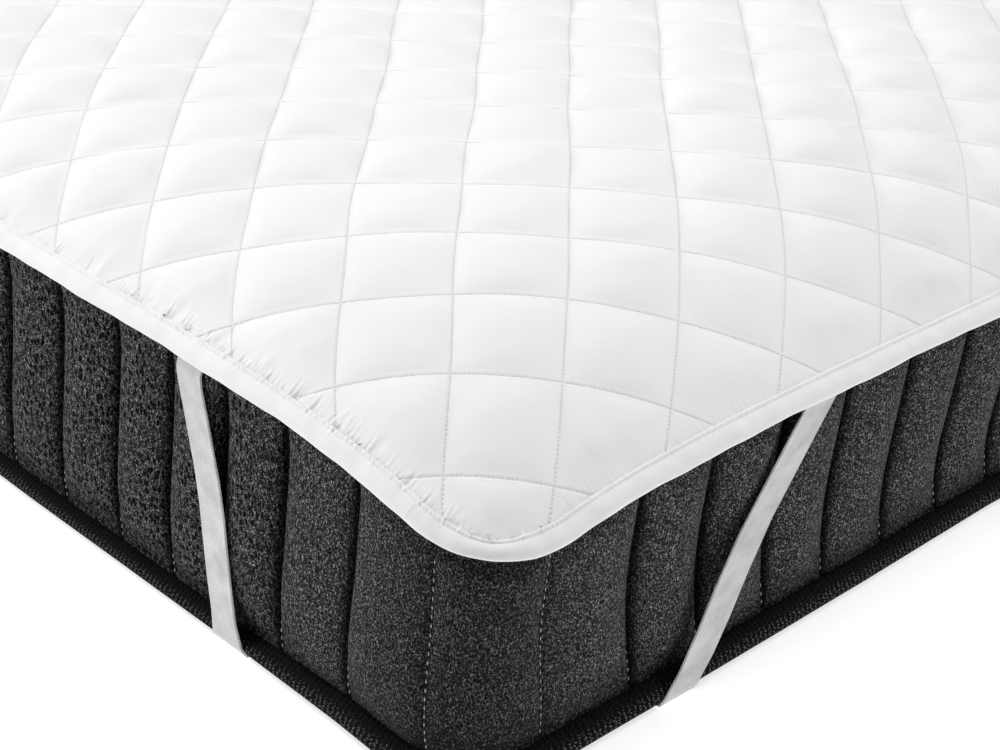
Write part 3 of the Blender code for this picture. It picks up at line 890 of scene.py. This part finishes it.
BINDING_SECTION = (  # inward from the edge, height over the stitch surface
    (0.0155, 0.0003),
    (0.0160, 0.0009),
    (0.0156, 0.0015),
    (0.0147, 0.0018),
    (0.0139, 0.0015),
    (0.0131, 0.0011),
    (0.0122, 0.0014),
    (0.0102, 0.0020),
    (0.0076, 0.0024),
    (0.0050, 0.0022),
    (0.0025, 0.0013),
    (0.0007, 0.0001),
    (0.0000, -0.0014),
    (0.0008, -0.0030),
    (0.0030, -0.0038),
    (0.0085, -0.0038),
    (0.0155, -0.0038),
    (0.0155, -0.0029),
    (0.0085, -0.0029),
    (0.0038, -0.0029),
    (0.0014, -0.0013),
    (0.0038, 0.0004),
    (0.0085, 0.0004),
)
BINDING_OUTER_ROWS = 15  # section rows that show, on which the cloth's waves lie
BINDING_STITCH_INSET = 0.0131
BINDING_STITCH_HEIGHT = 0.0011


def binding_edge(distance):
    """How the binding's outer edge wanders in and out."""
    return ripple(distance, ((0.143, 0.0004, 0.4), (0.061, 0.0002, 1.0), (0.029, 0.0001, 2.4)), PAD_OUTLINE.length)


def binding_point(distance, inset, height, outer):
    """Points of the binding, whose width follows its seam."""
    share = inset / BINDING_WIDTH
    inset = share * (BINDING_WIDTH - SEAM_INSET + seam_inset(distance))
    across, along = PAD_OUTLINE.at(distance, inset + binding_edge(distance) * (1 - share))
    wave = 0.0
    if outer:
        hollows = ((0.037, 0.00030, 0.2), (0.019, 0.00018, 1.4), (0.087, 0.0004, 2.0))
        swell = ripple(distance + 0.3 * inset, hollows, PAD_OUTLINE.length)
        wave = swell * math.sin(math.pi * min(share, 1.0)) + 0.7 * pleats(distance, inset - seam_inset(distance))
    return on_cloth(across, along, height + wave)


def edge_binding(material):
    marks = graded(PAD_OUTLINE, ((0.12, 0.0009), (0.52, 0.0012), (1.15, 0.003), (9.0, 0.007)))
    rows, flats = [], []
    for index, (inset, height) in enumerate(BINDING_SECTION):
        outer = index < BINDING_OUTER_ROWS
        rows.append(binding_point(marks, inset, height, outer))
        flats.append(np.stack([marks, np.full(len(marks), inset if outer else -inset)], -1))
    points = np.stack(rows).reshape(-1, 3)
    faces = grid_faces(len(rows), len(marks), wrap_rows=True, wrap_columns=True)
    return make_piece("binding", points, faces, material, {"flat": np.stack(flats).reshape(-1, 2)})


def binding_stitches(material):
    marks = np.arange(int(PAD_OUTLINE.length / BINDING_STITCH_PITCH)) * BINDING_STITCH_PITCH
    here = binding_point(marks, BINDING_STITCH_INSET, BINDING_STITCH_HEIGHT, True)
    ahead = binding_point(marks + 0.001, BINDING_STITCH_INSET, BINDING_STITCH_HEIGHT, True)
    return stitch_mesh("binding_stitches", here, ahead - here, upward(here), BINDING_STITCH, material)


# Mattress

# The mattress leans a little, so a channel's crown lies otherwise on a long side than on a short one
SIDE_ROWS = (  # height, inward at a crown of a long side, of a short side, depth of the seam beside it
    (0.018, 0.0104, 0.0128, 0.0015),
    (0.028, 0.0058, 0.0104, 0.0055),
    (0.041, 0.0022, 0.0084, 0.0100),
    (0.060, -0.0004, 0.0066, 0.0130),
    (0.075, -0.0006, 0.0053, 0.0142),
    (0.095, 0.0004, 0.0031, 0.0146),
    (0.115, 0.0024, 0.0009, 0.0146),
    (0.135, 0.0046, -0.0012, 0.0142),
    (0.155, 0.0070, -0.0026, 0.0128),
    (0.168, 0.0088, -0.0014, 0.0100),
    (0.178, 0.0110, 0.0040, 0.0060),
    (0.188, 0.0135, 0.0125, 0.0030),
)
SIDE_LOOPS = 30
CHANNEL_STEPS = 20
CORNER_CHANNEL_SHARE = 0.45  # how deep the seams are where the cover is stretched round a corner

# Places of the seams that show, round from the start of the near corner. The others are evenly spaced.
NEAR_SEAMS = (
    (-0.437, -0.370, -0.3007, -0.2400, -0.1830, -0.123, -0.054, 0.0178)
    + (0.097, 0.174, 0.2355, 0.2998, 0.3608, 0.4259, 0.490)
)
FAR_CHANNELS = 92
FOOT_BESIDE_LONG = ((0.0, 0.05, 0.10, 0.20, 0.45, 0.8), (0.0070, 0.0066, 0.0044, 0.0022, 0.0034, 0.0))
FOOT_BESIDE_SHORT = ((0.0, 0.15, 0.35, 0.50, 0.65), (0.0070, 0.0055, 0.0015, -0.0030, 0.0))
BAND_DROP = 0.32  # share by which the band's top is lower on the long sides
SHOULDER_SHARE = 0.84  # of the side's height, where it starts to round in under the cloth
UNDER_SHOULDER = ((SHOULDER_SHARE, 0.93, 1.0), (-0.004, 0.006, 0.0125))  # share of the height, inward
SHADED_CREASE = (0.0012, 0.0085)  # from a seam, where its painted crease shade starts to fade and ends
LIT_CREASE = (0.0, 0.0022)
FOOT_ROWS = (  # inward, height
    (0.0085, 0.0),
    (0.0054, 0.0034),
    (0.0048, 0.0085),
    (0.0068, 0.0130),
    (0.0104, 0.0160),
)
TOP_ROWS = (  # inward, share of the shoulder's depth below the cloth
    (0.016, 1.0),
    (0.03, 0.9),
    (0.05, 0.75),
    (0.08, 0.5),
    (0.13, 0.3),
    (0.20, 0.1),
    (0.32, 0.0),
)


def all_seams():
    round_trip = NEAR_SEAMS[0] + MATTRESS_OUTLINE.length
    return np.concatenate([NEAR_SEAMS, np.linspace(NEAR_SEAMS[-1], round_trip, FAR_CHANNELS + 1)[1:-1]])


def long_side_share(distance):
    """1 on a long side, 0 on a short one, and between them round a corner."""
    outer_x, _ = MATTRESS_OUTLINE.at(distance, 0.0)
    inner_x, _ = MATTRESS_OUTLINE.at(distance, 0.01)
    return ((outer_x - inner_x) / 0.01) ** 2


def foot_reach(distance):
    """How far the foot spreads past the mattress's outline, most at a corner."""
    corner = MATTRESS_OUTLINE.from_corner_middle(distance)
    long_side = long_side_share(distance)
    return np.interp(corner, *FOOT_BESIDE_LONG) * long_side + np.interp(corner, *FOOT_BESIDE_SHORT) * (1 - long_side)


def spread(reach, height):
    """The foot's spread, which fades up the side."""
    return reach * (1 - smooth_step(0.03, 0.11, height))


def wall_foot(distance):
    """Height of the band's top. The long sides bulge over it away from the corners."""
    away = smooth_step(0.08, 0.22, MATTRESS_OUTLINE.from_corner_middle(distance))
    return WALL_FOOT * (1 - BAND_DROP * away * long_side_share(distance))


def side_inward(distance, height, top, bulge):
    """How far inside the mattress's outline its side lies. bulge is 1 at a crown and 0 at a seam."""
    table = np.array(SIDE_ROWS)
    columns = [np.interp(height, table[:, 0], table[:, column]) for column in (1, 2, 3)]
    long_side = long_side_share(distance)
    near = 1 - smooth_step(0.05, 0.13, MATTRESS_OUTLINE.from_corner_middle(distance))
    depth = columns[2] * (1 - (1 - CORNER_CHANNEL_SHARE) * near)
    inward = columns[0] * long_side + columns[1] * (1 - long_side) + depth * (1 - bulge)
    inward = inward - spread(foot_reach(distance), height)
    share = (height - WALL_FOOT) / (top - WALL_FOOT)
    return np.where(share < SHOULDER_SHARE, inward, np.maximum(inward, np.interp(share, *UNDER_SHOULDER)))


def shoulder_at(distance, depth):
    """The mattress's shoulder below the cloth, all round."""
    x, y = MATTRESS_OUTLINE.at(distance, SHOULDER_INSET)
    across = np.sign(x) * (HALF_X - np.interp(HALF_X - np.abs(x), PLAN, RUN))
    along = np.sign(y) * (HALF_Y - np.interp(HALF_Y - np.abs(y), PLAN, RUN))
    return on_cloth(across, along, -depth)


def mattress_side():
    """Rows of points up the side, their distances round, and how dark the painted shade of the seams' crease is at
    each distance.
    """
    seams = all_seams()
    ends = np.append(seams[1:], seams[0] + MATTRESS_OUTLINE.length)
    even = np.arange(CHANNEL_STEPS) / CHANNEL_STEPS
    steps = 0.35 * even + 0.65 * (1 - np.cos(np.pi * even)) / 2  # closer together beside a seam
    part = np.tile(steps, len(seams))
    distance = (seams[:, None] + (ends - seams)[:, None] * steps).ravel()
    distance = distance % MATTRESS_OUTLINE.length
    uneven = ripple(distance, ((0.23, 0.0005, 0.0), (0.56, 0.0006, 1.0)), MATTRESS_OUTLINE.length)
    top = shoulder_at(distance, SHOULDER_DEPTH)[:, 2]
    foot = wall_foot(distance)
    rows = []
    for share in np.linspace(0, 1, SIDE_LOOPS):
        height = foot + (top - foot) * share
        bulge = 0.55 * np.sin(np.pi * part) ** 0.4 + 0.45 * np.sin(np.pi * part)
        inward = side_inward(distance, height, top, bulge) + uneven * math.sin(math.pi * share)
        x, y = MATTRESS_OUTLINE.at(distance, inward)
        rows.append(np.stack([x, y, height], -1))

    # Painted shade in the crease at each seam, wider on the flank toward the near corner or the one across from it
    width = np.repeat(ends - seams, CHANNEL_STEPS)
    from_start, to_end = part * width, (1 - part) * width
    long_side = long_side_share(distance) > 0.5
    shaded_flank = np.where(long_side, to_end, from_start)
    lit_flank = np.where(long_side, from_start, to_end)
    crease_shade = 1 - np.minimum(smooth_step(*SHADED_CREASE, shaded_flank), smooth_step(*LIT_CREASE, lit_flank))
    crease_shade = np.where(part == 0, 1.0, crease_shade)
    near = 1 - smooth_step(0.04, 0.10, MATTRESS_OUTLINE.from_corner_middle(distance))
    return rows, distance, crease_shade * (1 - 0.7 * near)


def mattress(material):
    """Sides with padded channels, a plain upper face under the cloth and a flat underside."""
    rows, distance, crease_shade = mattress_side()
    count = len(distance)
    lower = wall_foot(distance) / WALL_FOOT
    reach = foot_reach(distance)
    foot = []
    for inward, height in FOOT_ROWS:
        x, y = MATTRESS_OUTLINE.at(distance, inward - reach)
        foot.append(np.stack([x, y, height * lower], -1))
    top = []
    for inset, share in TOP_ROWS:
        radius_line = np.minimum(inset, CORNER_RADIUS - 0.004)
        x, y = MATTRESS_OUTLINE.at(distance, radius_line)
        shrink_x = (HALF_X - inset) / (HALF_X - radius_line)
        shrink_y = (HALF_Y - inset) / (HALF_Y - radius_line)
        depth = (PAD_THICK + 0.0003) * (1 - share) + SHOULDER_DEPTH * share
        top.append(on_cloth(x * shrink_x, y * shrink_y, -depth))
    loops = foot + rows + top
    points = np.concatenate(loops)
    faces = grid_faces(len(loops), count, wrap_columns=True)
    points = np.concatenate([points, [[0, 0, 0], [0, 0, top[-1][:, 2].max()]]])
    bottom_centre, top_centre = len(points) - 2, len(points) - 1
    last = (len(loops) - 1) * count
    for here in range(count):
        after = (here + 1) % count
        faces.append((after, here, bottom_centre))
        faces.append((last + here, last + after, top_centre))
    # The side map carries the share of painted crease shade and the height.
    side = np.stack([np.append(np.tile(crease_shade, len(loops)), (0.0, 0.0)), points[:, 2]], -1)
    return make_piece("mattress_cover", points, faces, material, {"side": side})


def seam_stitches(material):
    """Pale dashes down each seam of the mattress's side."""
    middles, headings, normals = [], [], []
    for seam in all_seams():
        top = float(shoulder_at(np.array([seam]), SHOULDER_DEPTH)[0, 2])
        foot = float(wall_foot(np.array([seam]))[0])
        heights = np.arange(foot + 0.004, top - 0.006, SEAM_STITCH_PITCH)
        distance = np.full(len(heights), seam)
        inward = side_inward(distance, heights, top, 0.0)
        x, y = MATTRESS_OUTLINE.at(distance, inward - 0.0006)
        out_x, out_y = MATTRESS_OUTLINE.at(distance, inward - 0.0106)
        middles.append(np.stack([x, y, heights], -1))
        headings.append(np.tile([0.0, 0.0, 1.0], (len(heights), 1)))
        outward = np.stack([out_x - x, out_y - y, np.zeros(len(x))], -1)
        normals.append(outward / np.linalg.norm(outward, axis=1, keepdims=True))
    middle, heading, normal = (np.concatenate(one) for one in (middles, headings, normals))
    return stitch_mesh("seam_stitches", middle, heading, normal, SEAM_STITCH, material)


BAND_SECTION = (  # inward, height
    (0.0042, 0.0034),
    (0.0020, 0.0029),
    (0.0007, 0.0036),
    (0.0001, 0.0056),
    (0.0008, 0.0085),
    (0.0022, 0.0115),
    (0.0045, 0.0145),
    (0.0075, 0.0166),
    (0.0102, 0.0177),
    (0.0112, 0.0172),
    (0.0088, 0.0152),
    (0.0056, 0.0125),
    (0.0038, 0.0095),
    (0.0034, 0.0060),
)


def base_band(material):
    marks = graded(MATTRESS_OUTLINE, ((1.2, 0.006), (9.0, 0.012)))
    ripples = ripple(marks, ((0.11, 0.0003, 0.2), (0.047, 0.0002, 1.5)), MATTRESS_OUTLINE.length)
    walked = np.concatenate([[0], np.cumsum(np.linalg.norm(np.diff(BAND_SECTION, axis=0), axis=1))])
    lower = wall_foot(marks) / WALL_FOOT
    reach = foot_reach(marks)
    rows, flats = [], []
    for (inward, height), width in zip(BAND_SECTION, walked):
        x, y = MATTRESS_OUTLINE.at(marks, inward - reach)
        rows.append(np.stack([x, y, height * lower + ripples * min(1.0, height / 0.02) * 0.6], -1))
        flats.append(np.stack([marks, np.full(len(marks), width)], -1))
    points = np.stack(rows).reshape(-1, 3)
    faces = grid_faces(len(rows), len(marks), wrap_rows=True, wrap_columns=True)
    return make_piece("base_band", points, faces, material, {"flat": np.stack(flats).reshape(-1, 2)})


# Straps

STRAP_WIDTH = 0.025
STRAP_THICK = 0.0012
STRAP_UNDER_BINDING = -0.0061
STRAP_TOP = 0.175
STRAP_FOOT = 0.0017
STRAP_TURN = 0.004
LONG_SIDE_STRAP = {"foot": 0.219, "lean": 0.215, "reach": 0.0022}
SHORT_SIDE_STRAP = {"foot": 0.1710, "lean": 0.682, "reach": 0.0051}
LONG_SIDE_ROUTE = (  # height, inward, shift along the side
    (0.176, 0.0100, 0.0115),
    (0.168, 0.0080, 0.0095),
    (0.155, 0.0062, 0.0058),
    (0.135, 0.0036, 0.0012),
    (0.115, 0.0014, -0.0030),
    (0.095, -0.0006, -0.0052),
    (0.075, -0.0017, -0.0053),
    (0.045, -0.0016, -0.0032),
    (0.022, -0.0012, -0.0010),
)
SHORT_SIDE_ROUTE = (
    (0.176, -0.0030, 0.0065),
    (0.160, -0.0036, 0.0022),
    (0.150, -0.0038, 0.0008),
    (0.100, -0.0029, -0.0020),
    (0.070, -0.0024, -0.0027),
    (0.045, -0.0019, -0.0015),
    (0.022, -0.0014, 0.0007),
)
FOOT_ROUTE = ((0.006, -0.0008, 0.0), (0.0019, 0.0003, 0.0))
STRAP_TOP_INSETS = (0.0145, 0.0055)
STRAP_ROW = 0.0009  # spacing of the strap's rows, two for each scallop of its woven edge
STRAP_SCALLOP = 0.012  # share of the half width
STRAP_SECTION = (  # share of the half width, share of the thickness
    (-1, 0.0),
    (-0.97, 1.0),
    (-0.6, 0.86),
    (0.0, 0.80),
    (0.6, 0.86),
    (0.97, 1.0),
    (1, 0.0),
    (0, 0.0),
)


def under_binding(strap, inset):
    beside = strap["foot"] + strap["lean"] * STRAP_TOP
    if strap is LONG_SIDE_STRAP:
        spot = on_cloth(inset - PAD_HALF_X, beside - HALF_Y, STRAP_UNDER_BINDING)
        return float(spot[0]) + HALF_X, float(spot[2])
    spot = on_cloth(beside - HALF_X, inset - PAD_HALF_Y, STRAP_UNDER_BINDING)
    return float(spot[1]) + HALF_Y, float(spot[2])


def side_stations(strap, route, half_run, turn_half):
    """Rows of a strap down one side: inward, from the corner, height, normal and half width."""
    section = [(*under_binding(strap, inset), route[0][2]) for inset in STRAP_TOP_INSETS]
    section += [
        (inward - float(spread(strap["reach"], height)), height, shift)
        for height, inward, shift in route + FOOT_ROUTE + ((STRAP_FOOT, STRAP_TURN, 0.0),)
    ]
    stations = []
    for index, (inward, height, shift) in enumerate(section):
        before = Vector(section[max(index - 1, 0)][:2])
        here = Vector((inward, height))
        after = Vector(section[min(index + 1, len(section) - 1)][:2])
        headings = [step.normalized() for step in (here - before, after - here) if step.length > 0]
        normals = [Vector((heading.y, -heading.x)) for heading in headings]
        normal = (normals[0] + normals[-1]).normalized()
        if index == len(section) - 1:
            normal = Vector((0, -1))
        low = max(0.0, 1 - height / 0.009)
        half = half_run + (turn_half - half_run) * low
        beside = strap["foot"] + strap["lean"] * height + shift
        stations.append((inward, beside, height, normal.x, normal.y, half))
    return stations


def corner_strap(name, side_x, side_y, material):
    start = Vector((STRAP_TURN, LONG_SIDE_STRAP["foot"]))
    end = Vector((SHORT_SIDE_STRAP["foot"], STRAP_TURN))
    heading = (end - start).normalized()
    half = STRAP_WIDTH / 2
    long_half = half * math.hypot(1, LONG_SIDE_STRAP["lean"])
    short_half = half * math.hypot(1, SHORT_SIDE_STRAP["lean"])
    down = side_stations(LONG_SIDE_STRAP, LONG_SIDE_ROUTE, long_half, half / abs(heading.x))
    up = side_stations(SHORT_SIDE_STRAP, SHORT_SIDE_ROUTE, short_half, half / abs(heading.y))
    middle = (start + end) / 2

    # Each row: its place, half its width and its outward normal, down one side, across below and up the other
    rows = []
    for inward, foot, height, out, rise, width in down:
        rows.append(((inward, foot, height), (0, width, 0), (out, 0, rise)))
    rows.append(((middle.x, middle.y, STRAP_FOOT), (-heading.y * half, heading.x * half, 0), (0, 0, -1)))
    for inward, foot, height, out, rise, width in reversed(up):
        rows.append(((foot, inward, height), (width, 0, 0), (0, out, rise)))
    spots, wides, normals = np.array(rows, float).transpose(1, 0, 2)

    # Finer rows between the stations, then seven points across and back underneath
    walked = np.concatenate([[0], np.cumsum(np.linalg.norm(np.diff(spots, axis=0), axis=1))])
    marks = np.arange(0, walked[-1], STRAP_ROW)
    spot, wide, normal = (
        np.stack([np.interp(marks, walked, table[:, axis]) for axis in range(3)], -1)
        for table in (spots, wides, normals)
    )

    # The bends under the binding are eased, and those round the foot stay where they are
    ease = np.exp(-((np.arange(-9, 10) / 5) ** 2))
    padded = np.pad(spot, ((9, 9), (0, 0)), "edge")
    eased = np.stack([np.convolve(padded[:, axis], ease / ease.sum(), "valid") for axis in range(3)], -1)
    spot = np.where(spot[:, 2:] > 0.10, eased, spot)
    normal /= np.linalg.norm(normal, axis=1, keepdims=True)
    scallop = 1 + STRAP_SCALLOP * np.where(np.arange(len(marks)) % 2 == 0, 1, -1)[:, None]
    columns, flats = [], []
    for share, rise in STRAP_SECTION:
        edge = scallop if abs(share) > 0.9 else 1.0
        columns.append(spot + wide * share * edge + normal * STRAP_THICK * rise)
        flats.append(np.stack([np.full(len(marks), share * half), marks], -1))
    points = np.stack(columns, 1)
    points[..., 0] = side_x * (HALF_X - points[..., 0])
    points[..., 1] = side_y * (HALF_Y - points[..., 1])
    count = len(STRAP_SECTION)
    faces = grid_faces(len(marks), count, wrap_columns=True)
    faces.append(range(count))
    faces.append(range(len(marks) * count - 1, (len(marks) - 1) * count - 1, -1))
    flat = np.stack(flats, 1).reshape(-1, 2)
    made = make_piece(name, points.reshape(-1, 3), faces, material, {"flat": flat}, smooth=False)
    return made, float(walked[-1])


# Stage

FLOOR_GLOW = 0.67
WORLD_GLOW = 0.13
LIGHT_AIM = Vector((-0.4, -0.6, 0.2))
LIGHTS = (  # name, place, size, power: broad ones from behind, one on each side, and one overhead
    ("left_light", (-3.1, 2.5, 1.4), 1.4, 78),
    ("right_light", (2.7, -3.4, 1.4), 1.4, 40),
    ("top_light", (-0.4, -0.5, 2.8), 2.4, 65),
)


def floor_and_light():
    bpy.ops.mesh.primitive_plane_add(size=14, location=(0, 0, -0.0002))
    floor = bpy.context.object
    floor.name = "floor"
    floor.data.materials.append(pale_floor())

    world = bpy.data.worlds.new("studio")
    world.use_nodes = True
    world.node_tree.nodes["Background"].inputs["Color"].default_value = (1, 1, 1, 1)
    world.node_tree.nodes["Background"].inputs["Strength"].default_value = WORLD_GLOW
    bpy.context.scene.world = world
    bpy.context.scene.view_settings.view_transform = "Standard"

    for name, place, size, power in LIGHTS:
        light = bpy.data.lights.new(name, "AREA")
        light.size = size
        light.energy = power
        lamp = bpy.data.objects.new(name, light)
        lamp.location = place
        aim = LIGHT_AIM - Vector(place)
        lamp.rotation_mode = "QUATERNION"
        lamp.rotation_quaternion = aim.to_track_quat("-Z", "Y")
        bpy.context.scene.collection.objects.link(lamp)


def camera():
    ahead = Vector(
        (
            math.cos(CAMERA_HEADING) * math.cos(CAMERA_DOWN),
            math.sin(CAMERA_HEADING) * math.cos(CAMERA_DOWN),
            -math.sin(CAMERA_DOWN),
        )
    )
    level = Vector((math.sin(CAMERA_HEADING), -math.cos(CAMERA_HEADING), 0))
    down = ahead.cross(level)
    right = level * math.cos(CAMERA_ROLL) + down * math.sin(CAMERA_ROLL)
    up = level * math.sin(CAMERA_ROLL) - down * math.cos(CAMERA_ROLL)
    lens = bpy.data.cameras.new("camera")
    lens.lens = CAMERA_LENS
    lens.sensor_width = 36
    lens.clip_start = 0.05
    made = bpy.data.objects.new("camera", lens)
    corner = Vector((-HALF_X, -HALF_Y, 0))
    turn = Matrix((right, up, -ahead)).transposed()
    made.matrix_world = Matrix.Translation(corner + Vector(CAMERA_FROM_CORNER)) @ turn.to_4x4()
    bpy.context.scene.collection.objects.link(made)
    bpy.context.scene.camera = made


def dress():
    camera()
    cloth = white_microfibre(quilted=True)
    white_thread = thread("white_thread", 0.6, 3500.0, 0.82, 0.93, bump=0.0001)
    grey_thread = thread("grey_thread", 0.7, 2500.0, 0.42, 0.75)
    elastic = white_elastic()

    pad = quilted_pad(cloth)
    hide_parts("quilted_pad")
    binding = edge_binding(white_microfibre(quilted=False))
    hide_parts("edge_binding")
    stitches = quilt_stitches(white_thread) + [binding_stitches(white_thread)]

    cover = mattress(charcoal_knit())
    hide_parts("mattress")
    band = base_band(black_mesh())
    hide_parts("mattress_base_band")
    seams = seam_stitches(grey_thread)

    pieces = [pad, binding, cover, band, seams, *stitches]
    for name, side_x, side_y in (
        ("front_left", -1, -1),
        ("front_right", 1, -1),
        ("back_right", 1, 1),
        ("back_left", -1, 1),
    ):
        strap, length = corner_strap("strap_" + name, side_x, side_y, elastic)
        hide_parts("corner_strap_" + name)
        pieces.append(strap)
    for piece in pieces:
        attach(piece, "root")
    floor_and_light()


dress()
